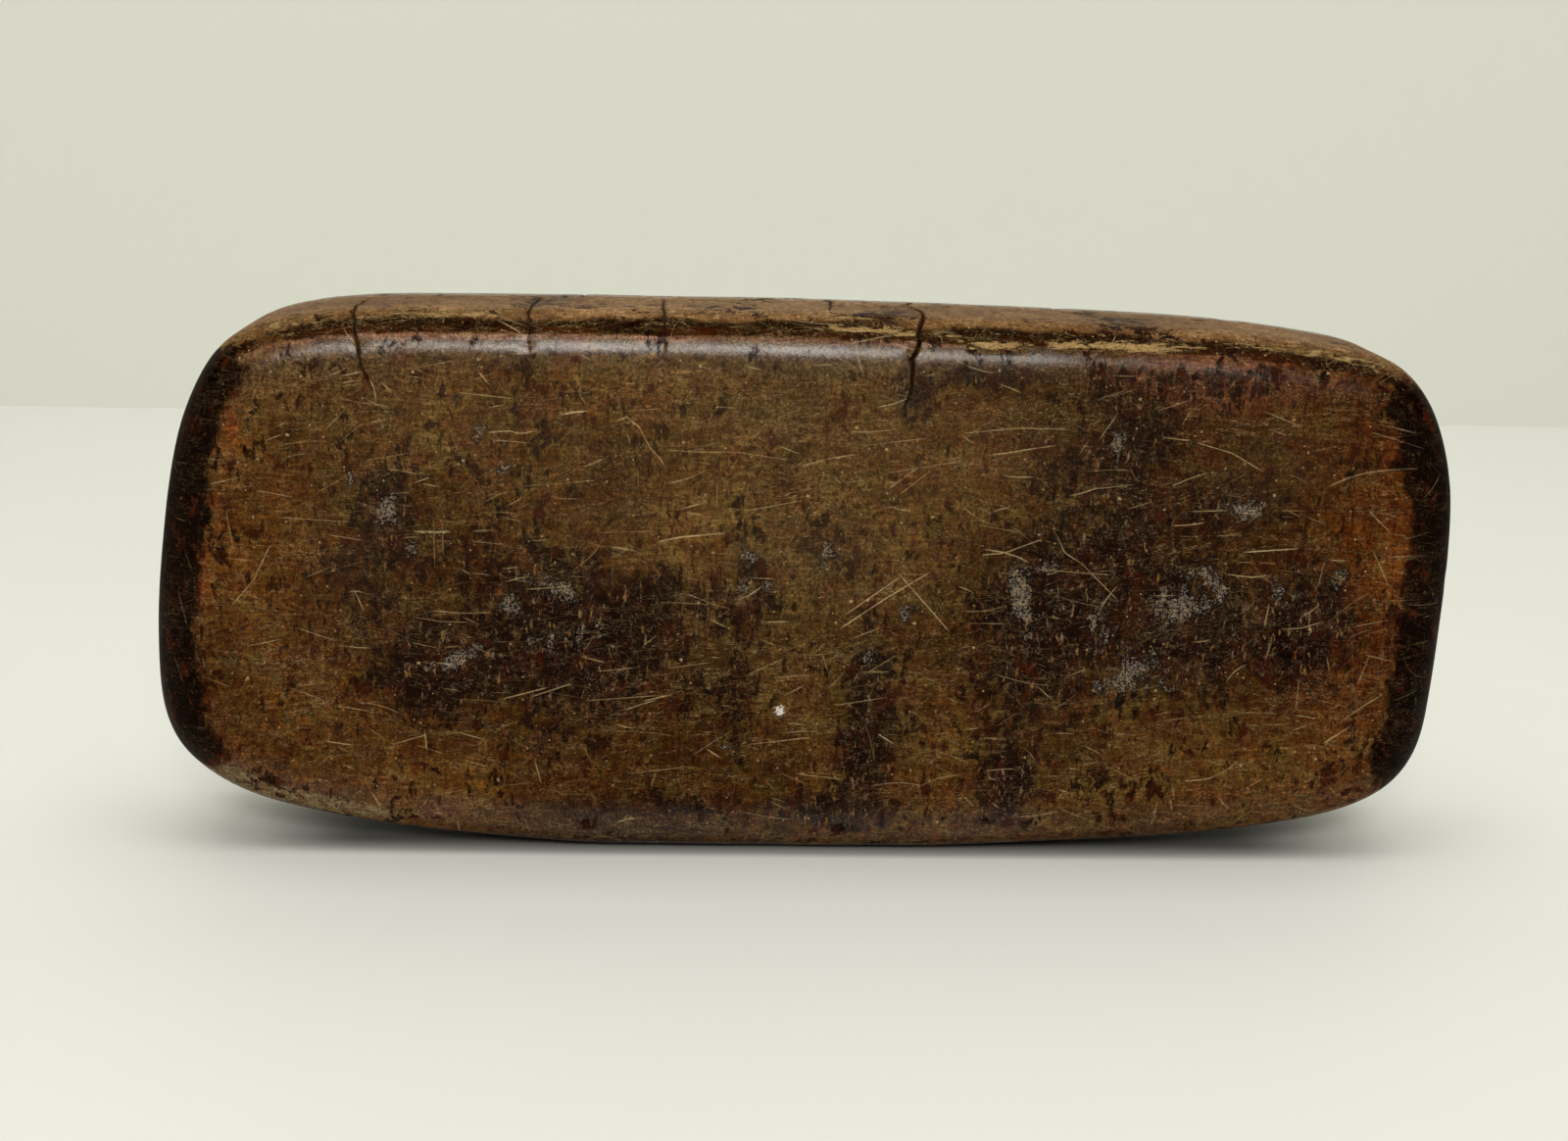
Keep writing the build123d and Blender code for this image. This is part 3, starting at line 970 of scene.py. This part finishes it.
# shared patterns, from broad to fine, then drawn out along Z or X
plain = scaled()
broad = noise(plain, scale=0.045, detail=3, rough=0.5)
medium = noise(plain, scale=0.16, detail=4, rough=0.62, warp=0.5)
small = noise(plain, scale=0.75, detail=5, rough=0.68, warp=0.4)
fine = noise(plain, scale=2.6, detail=4, rough=0.75)
ragged = noise(scaled(z=0.6), scale=0.60, detail=7, rough=0.76, warp=0.5)
streak = noise(scaled(1.9, 0.5, 0.22), detail=5, rough=0.65, warp=0.3)
level = noise(scaled(0.30, 1.0, 2.6, (3, 5, 9)), detail=4, rough=0.7, warp=0.3)

dark, orange, painted_sheen, turn = wood.channels("fa")
grey, check, dirt, flaked = wood.channels("fb")
end_dark, rub, top_band_wood_and_light, gloss = wood.channels("fc")

# base wood: its tone by place, mottled red, olive and tan
tone = wood.attribute("tone").outputs["Color"]
tint = noise(scaled(z=0.8, shift=(9, 4, 7)), scale=0.30, detail=8, rough=0.76, warp=0.5)
tone = mix(step(tint, 0.515, 0.58, high=0.60), tone, rgb(68, 30, 7))
tone = mix(step(tint, 0.475, 0.42, high=0.50), tone, rgb(80, 62, 24))
tone = mix(step(small, 0.50, 0.62, high=0.22), tone, rgb(98, 56, 18))
orange_mask = step(add(orange, vary(ragged, 1.0), vary(fine, 0.3)), 0.45, 1.05)
tone = mix(mul(orange_mask, 0.7), tone, rgb(124, 50, 10))
# pale wood of the top band, with painted light where the top faces the overhead lamp; rubbed wood,
# greyer low on the block
top_band_wood_and_light_tone = mix(step(small, 0.35, 0.65), rgb(152, 116, 74), rgb(120, 84, 48))
tone = mix(mul(top_band_wood_and_light, 0.80), tone, top_band_wood_and_light_tone)
rub_mask = mul(step(add(rub, vary(ragged, 0.5)), 0.30, 0.80), 0.85)
_x, _y, height_z, _a = wood.channels("place")
low_rub_tone = mix(step(small, 0.40, 0.60), rgb(136, 116, 78), rgb(92, 64, 34))
high_rub_tone = mix(step(small, 0.40, 0.60), rgb(144, 104, 76), rgb(98, 54, 32))
tone = mix(rub_mask, tone, mix(step(height_z, 30.0, 50.0), low_rub_tone, high_rub_tone))
# grit, as stops of brightness: paler wood is more tan, darker wood redder
stops = add(vary(small, 1.6), vary(fine, 2.9), vary(streak, 1.7), vary(level, 2.0),
            vary(medium, 2.2), vary(ragged, 2.5), vary(broad, 1.7), -0.08)
stops = calc("MINIMUM", calc("MAXIMUM", stops, -3.2), 1.7)
gains = {i: calc("POWER", 2.0, mul(stops, k)) for i, k in enumerate((0.84, 1.0, 1.22))}
tone = mix(1.0, tone, wood.new("ShaderNodeCombineColor", gains).outputs[0], "MULTIPLY")

# dark stains with broken edges, with dark red patches
stain = add(dark, vary(ragged, 1.7), vary(streak, 0.45), vary(medium, 0.9), vary(fine, 0.35))
stain = step(stain, 0.14, 0.44)
stain_tone = mix(step(add(tint, vary(fine, 0.04)), 0.49, 0.58), rgb(18, 5, 2), rgb(44, 14, 4))
tone = mix(mul(stain, 0.96), tone, stain_tone)
# pores and small dark spots
pore = noise(scaled(3.2, 3.2, 1.3, (7, 1, 4)), detail=3, rough=0.65)
pore = step(add(pore, vary(medium, 0.10)), 0.60, 0.68)
tone = mix(mul(pore, 0.7), tone, rgb(26, 10, 3))
spot = noise(scaled(shift=(31, 7, 2)), scale=0.42, detail=5, rough=0.7, warp=0.4)
spot = step(add(spot, vary(fine, 0.10)), 0.61, 0.68)
tone = mix(mul(spot, 0.65), tone, rgb(34, 13, 4))

# dirt along the top shoulder
dirt = step(add(dirt, vary(ragged, 0.55), vary(fine, 0.12)), 0.28, 0.72)
dirt_tone = mix(step(add(turn, vary(small, 0.12)), 0.43, 0.54), rgb(50, 18, 4), rgb(22, 12, 3))
tone = mix(mul(dirt, 0.94), tone, mix(step(medium, 0.40, 0.60), dirt_tone, rgb(26, 12, 5)))
# black skin over the ends
end_mask = add(end_dark, vary(ragged, 1.3), vary(medium, 0.8), vary(fine, 0.25))
end_mask = step(end_mask, 0.12, 0.56)
end_tone = mix(step(add(ragged, vary(tint, 0.25)), 0.54, 0.64), rgb(7, 2, 1), rgb(60, 20, 6))
tone = mix(mul(end_mask, 0.96), tone, end_tone)
# flaked skin: a dark border round bared pale fibres
fibre = noise(scaled(0.55, 1.9, 1.9, (4, 4, 9)), detail=6, rough=0.76, warp=0.6)
flaked = add(flaked, vary(fibre, 1.5), vary(fine, 0.5))
tone = mix(mul(step(flaked, 0.26, 0.40), 0.55), tone, rgb(40, 26, 9))
bared = step(flaked, 0.44, 0.60)
bared_tone = mix(step(fine, 0.38, 0.62), rgb(172, 142, 96), rgb(122, 94, 54))
tone = mix(mul(bared, 0.96), tone, bared_tone)
# the checks
tone = mix(mul(check, 0.75), tone, rgb(30, 14, 8))

# grey scuffs: bared, dusty wood with black specks in it
grit = noise(plain, scale=3.6, detail=2, rough=0.7)
scuffed = mul(add(mul(grey, 1.15), vary(ragged, 2.0), vary(fine, 0.9)), step(grey, 0.05, 0.20))
scuff_mask = step(scuffed, 0.52, 0.62)
tone = mix(mul(step(scuffed, 0.26, 0.44), 0.75), tone, rgb(14, 7, 5))
tone = mix(mul(scuff_mask, step(grit, 0.47, 0.54, low=0.04, high=0.95)), tone,
           mix(step(small, 0.42, 0.60), rgb(108, 100, 92), rgb(132, 116, 94)))
# pale flecks and a net of pale hairlines in and round the stains
fleck = noise(scaled(1.5, 1.3, 0.50, (5, 17, 3)), detail=6, rough=0.72)
near_stain = step(add(dark, vary(medium, 0.4)), 0.18, 0.60)
fleck = mul(step(fleck, 0.615, 0.635), calc("MULTIPLY_ADD", near_stain, 0.85, 0.15))
fleck_tone = mix(step(medium, 0.42, 0.58), rgb(138, 108, 82), rgb(138, 98, 50))
tone = mix(mul(fleck, 0.72), tone, fleck_tone)


def contour(value, width, core):
    """Thin lines where a noise crosses its middle."""
    return step(calc("ABSOLUTE", calc("SUBTRACT", value, 0.5)), width, core)


net = noise(scaled(0.9, 0.9, 0.75, (15, 1, 23)), scale=0.8, detail=5, rough=0.66, warp=0.6)
net = mul(contour(net, 0.0065, 0.002), near_stain, step(small, 0.48, 0.56, high=0.85))
tone = mix(net, tone, rgb(144, 120, 98))


def scratch_lines(name):
    """The scratches of one set; the flag is 1 only well inside a scratch's own vertices."""
    off, inset, strength, flag = wood.channels(name)
    line = step(calc("ABSOLUTE", add(off, vary(fine, 0.5))), 1.25, 0.35)
    tip = step(inset, -0.15, 1.1)
    return mul(mul(line, tip), mul(strength, calc("GREATER_THAN", flag, 0.985)))


scratches = scratch_lines("s0")
for i in range(1, SCRATCH_SETS):
    scratches = calc("MAXIMUM", scratches, scratch_lines("s%d" % i))

# hairlines: turn in degrees, length, gap, shift, line width in noise value, strength
HAIRLINES = [
    (-9, 6.0, 0.75, 11, 0.0085, 0.75), (8, 4.0, 0.60, 47, 0.0085, 0.70),
    (24, 3.2, 0.8, 83, 0.0075, 0.55), (-34, 2.6, 0.8, 131, 0.0075, 0.50),
    (82, 2.2, 0.9, 171, 0.007, 0.45),
]
hair = None
for angle, length, gap, shift, width, strength in HAIRLINES:
    drawn_out = wood.new("ShaderNodeMapping", {
        "Vector": object_space,
        "Location": (shift / 1000.0, 0.0, shift / 2000.0),
        "Rotation": (0.0, math.radians(angle), 0.0),
        "Scale": (length / 1000.0, 0.003, gap / 1000.0),
    }, vector_type="TEXTURE").outputs[0]
    line = contour(noise(drawn_out, detail=3, rough=0.6, warp=0.3), width, width * 0.2)
    bunch = noise(drawn_out, scale=0.31, detail=2, rough=0.6)
    line = mul(line, step(bunch, 0.46, 0.60, high=strength))
    hair = line if hair is None else calc("MAXIMUM", hair, line)
hair = mul(hair, step(fine, 0.34, 0.56, low=0.15), step(end_mask, 0.0, 1.0, low=1.0, high=0.3),
           step(top_band_wood_and_light, 0.0, 1.0, low=1.0, high=0.3), step(stain, 0.0, 1.0, low=1.0, high=0.45))
tone = mix(hair, tone, rgb(160, 134, 90))
scratches = mul(scratches, step(fine, 0.30, 0.55, low=0.35),
                step(end_mask, 0.0, 1.0, low=1.0, high=0.35),
                step(top_band_wood_and_light, 0.0, 1.0, low=1.0, high=0.35))
scratch_tone = mix(step(medium, 0.4, 0.6), rgb(198, 172, 126), rgb(160, 132, 90))
tone = mix(mul(scratches, 0.80), tone, scratch_tone)


def specks(scale, edge, core, share):
    """Round specks in a share of the cells of a Voronoi pattern."""
    cells = wood.new("ShaderNodeTexVoronoi", {"Vector": plain, "Scale": scale})
    parts = wood.new("ShaderNodeSeparateColor", {0: cells.outputs["Color"]})
    dot = step(add(cells.outputs["Distance"], vary(fine, 0.20)), edge, core)
    return mul(dot, calc("GREATER_THAN", parts.outputs[0], 1.0 - share))


pale_specks = calc("MAXIMUM", specks(scale=0.50, edge=0.12, core=0.06, share=0.15),
                   mul(specks(scale=1.2, edge=0.20, core=0.10, share=0.10), 0.8))
tone = mix(mul(pale_specks, step(end_mask, 0.0, 1.0, low=0.55, high=0.12)), tone,
           rgb(200, 165, 118))
# one bright chip on the front, at x -3.3, z 20.4
place_x, place_y, place_z, _a = wood.channels("place")
from_x, from_z = add(place_x, 3.3), add(place_z, -20.4)
chip = calc("SQRT", add(mul(from_x, from_x), mul(from_z, from_z)))
chip = step(add(chip, vary(fine, 1.6), vary(ragged, 0.8)), 0.62, 0.50)
chip = mul(chip, calc("LESS_THAN", place_y, 0.0))
tone = mix(mul(chip, 0.9), tone, rgb(214, 204, 190))
# painted sheen: a pale haze over the upper face, standing in for the soft light caught below the
# top highlight
tone = mix(mul(painted_sheen, step(fine, 0.3, 0.7, low=0.03, high=0.16)), tone, rgb(150, 125, 92))

relief = add(mul(fine, 0.06), mul(small, 0.06), mul(ragged, 0.10), mul(scratches, -0.04),
             mul(scuff_mask, -0.06), mul(bared, -0.06))  # in millimetres
bump = wood.new("ShaderNodeBump", {"Strength": 1.0, "Distance": 0.001, "Height": relief})
bumped = bump.outputs[0]
# the wax skin is smoother than the wood under it
true_normal = wood.new("ShaderNodeNewGeometry").outputs["Normal"]
skin = wood.vector("ADD", wood.vector("SCALE", bumped, scale=0.35),
                   wood.vector("SCALE", true_normal, scale=0.65))
skin = wood.vector("NORMALIZE", skin)

# the wax coat follows the polish and is lost where the skin is dirty or broken
coat_gain = add(0.04, mul(gloss, step(fine, 0.3, 0.6, low=0.45)))
coat_loss = add(mul(end_mask, 0.85), mul(scuff_mask, 0.5), mul(bared, 0.6), mul(check, 0.6),
                mul(dirt, 0.90), mul(scratches, 0.3))
shader = wood.new("ShaderNodeBsdfPrincipled", {
    "Base Color": tone,
    "Roughness": add(0.36, mul(medium, 0.14), mul(fine, 0.16), mul(scuff_mask, 0.25),
                     mul(bared, 0.25), mul(scratches, 0.15), mul(dirt, 0.12)),
    "Normal": bumped,
    "IOR": 1.45,
    "Specular IOR Level": calc("SUBTRACT", 0.03, mul(dirt, 0.03), clamp=True),
    "Coat Weight": calc("SUBTRACT", coat_gain, coat_loss, clamp=True),
    "Coat Roughness": add(0.10, mul(medium, 0.12), mul(fine, 0.12), mul(small, 0.06)),
    "Coat IOR": 1.6,
    "Coat Normal": skin,
})
wood.new("ShaderNodeOutputMaterial", {"Surface": shader.outputs[0]})

body.materials.clear()
body.materials.append(hardwood)
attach(block, "root")
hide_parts(NODE)


# ---------------------------------------------------------------------------
# stage, in metres
# ---------------------------------------------------------------------------
def plane(name, corners, material):
    mesh = bpy.data.meshes.new(name)
    mesh.from_pydata(corners, [], [tuple(range(len(corners)))])
    mesh.materials.append(material)
    obj = bpy.data.objects.new(name, mesh)
    bpy.context.scene.collection.objects.link(obj)


def floor_material():
    material, floor = new_material("pale_floor")
    coords = floor.new("ShaderNodeTexCoord").outputs["Object"]
    mottle = floor.noise(coords, scale=9.0, detail=3, rough=0.5)
    light_path = floor.new("ShaderNodeLightPath")
    place = floor.new("ShaderNodeSeparateXYZ", {0: coords}).outputs
    # glossy rays find a darker floor beyond the ends and in front of the block
    outer = floor.calc("MAXIMUM", floor.step(floor.calc("ABSOLUTE", place[0]), 0.12, 0.30),
                       floor.step(place[1], -0.026, -0.042))
    outer = floor.mul(outer, light_path.outputs["Is Glossy Ray"])
    # painted shadow: the narrow strip of floor beneath the block is painted dark, standing in for
    # the shade the lamps leave there
    painted_shadow = floor.mul(floor.step(floor.calc("ABSOLUTE", place[1]), 0.0135, 0.0060),
                      floor.step(floor.calc("ABSOLUTE", place[0]), 0.078, 0.058), 0.88)
    pale = floor.mix(mottle, rgb(228, 228, 222), rgb(234, 234, 228))
    pale = floor.mix(painted_shadow, pale, rgb(52, 50, 47))
    surface = floor.new("ShaderNodeBsdfPrincipled", {
        "Base Color": floor.mix(outer, pale, rgb(30, 27, 24)), "Roughness": 0.6})
    floor.new("ShaderNodeOutputMaterial", {"Surface": surface.outputs[0]})
    return material


def backdrop_material():
    """Pale from its front side, clear from behind."""
    material, wall = new_material("pale_backdrop")
    surface = wall.new("ShaderNodeBsdfPrincipled", {
        "Base Color": rgb(224, 225, 214), "Roughness": 0.9})
    clear = wall.new("ShaderNodeBsdfTransparent")
    behind = wall.new("ShaderNodeNewGeometry").outputs["Backfacing"]
    blend = wall.new("ShaderNodeMixShader", {0: behind, 1: surface.outputs[0],
                                             2: clear.outputs[0]})
    wall.new("ShaderNodeOutputMaterial", {"Surface": blend.outputs[0]})
    return material


FLOOR_HALF = 2.0
plane("floor", [(FLOOR_HALF * i, FLOOR_HALF * j, 0)
                for i, j in ((-1, -1), (1, -1), (1, 1), (-1, 1))], floor_material())
# slightly turned, with its front towards -Y
plane("backdrop", [(-1.6, 0.336, 0), (1.6, 0.352, 0), (1.6, 0.352, 1.1), (-1.6, 0.336, 1.1)],
      backdrop_material())


def build_world(diffuse=0.40, seen=0.66, glossy_front=0.015, glossy_back=0.45):
    """Brightness by kind of ray; glossy rays find a dim room towards -Y, a pale one at +Y."""
    world = bpy.data.worlds.new("studio")
    bpy.context.scene.world = world
    world.use_nodes = True
    world.cycles.sampling_method = "NONE"  # so that the ray choice holds for every lobe
    sky = Nodes(world.node_tree)
    rays = sky.new("ShaderNodeLightPath").outputs
    way = sky.new("ShaderNodeTexCoord").outputs["Generated"]
    way_y = sky.new("ShaderNodeSeparateXYZ", {0: way}).outputs[1]
    glossy = sky.step(way_y, -0.2, 0.6, low=glossy_front, high=glossy_back)
    strength = sky.mix_value(rays["Is Glossy Ray"], diffuse, glossy)
    strength = sky.mix_value(rays["Is Camera Ray"], strength, seen)
    light = sky.new("ShaderNodeBackground", {0: (0.93, 0.95, 0.93, 1), 1: strength})
    sky.new("ShaderNodeOutputWorld", {0: light.outputs[0]})


def area_light(name, place, target, size, power, color):
    light = bpy.data.lights.new(name, "AREA")
    light.shape = "RECTANGLE"
    light.size, light.size_y = size
    light.energy = power
    light.color = color
    lamp = bpy.data.objects.new(name, light)
    bpy.context.scene.collection.objects.link(lamp)
    lamp.location = place
    aim = Vector(target) - Vector(place)
    lamp.rotation_euler = aim.to_track_quat("-Z", "Y").to_euler()
    return lamp


def add_camera(place, yaw, pitch, roll, lens):
    """Yaw turns from +Y towards +X, pitch looks down; both and roll in degrees."""
    data = bpy.data.cameras.new("camera")
    camera = bpy.data.objects.new("camera", data)
    bpy.context.scene.collection.objects.link(camera)
    data.sensor_width = 36.0
    data.lens = lens
    data.clip_start, data.clip_end = 0.01, 20.0
    yaw, pitch, roll = math.radians(yaw), math.radians(pitch), math.radians(roll)
    ahead = Vector((math.sin(yaw) * math.cos(pitch), math.cos(yaw) * math.cos(pitch),
                    -math.sin(pitch)))
    level_right = Vector((math.cos(yaw), -math.sin(yaw), 0.0))
    level_up = level_right.cross(ahead)
    right = level_right * math.cos(roll) + level_up * math.sin(roll)
    upward = -level_right * math.sin(roll) + level_up * math.cos(roll)
    pose = Matrix((right, upward, -ahead)).transposed().to_4x4()
    pose.translation = Vector(place)
    camera.matrix_world = pose
    bpy.context.scene.camera = camera


build_world()
overhead = area_light("overhead", place=(0.0, -0.10, 1.15), target=(0, 0.0, 0.03),
                      size=(1.1, 0.7), power=6.2, color=(1.0, 0.99, 0.95))
overhead.visible_glossy = False
area_light("front_card", place=(-0.025, -0.95, 0.56), target=(0, 0, 0.06),
           size=(0.46, 0.24), power=5.3, color=(1.0, 0.98, 0.93))
add_camera(place=(-0.01308, -0.30843, 0.10827), yaw=1.939, pitch=13.157, roll=1.143, lens=54.0)
bpy.context.scene.view_settings.view_transform = "Standard"
bpy.context.scene.view_settings.exposure = 0.0
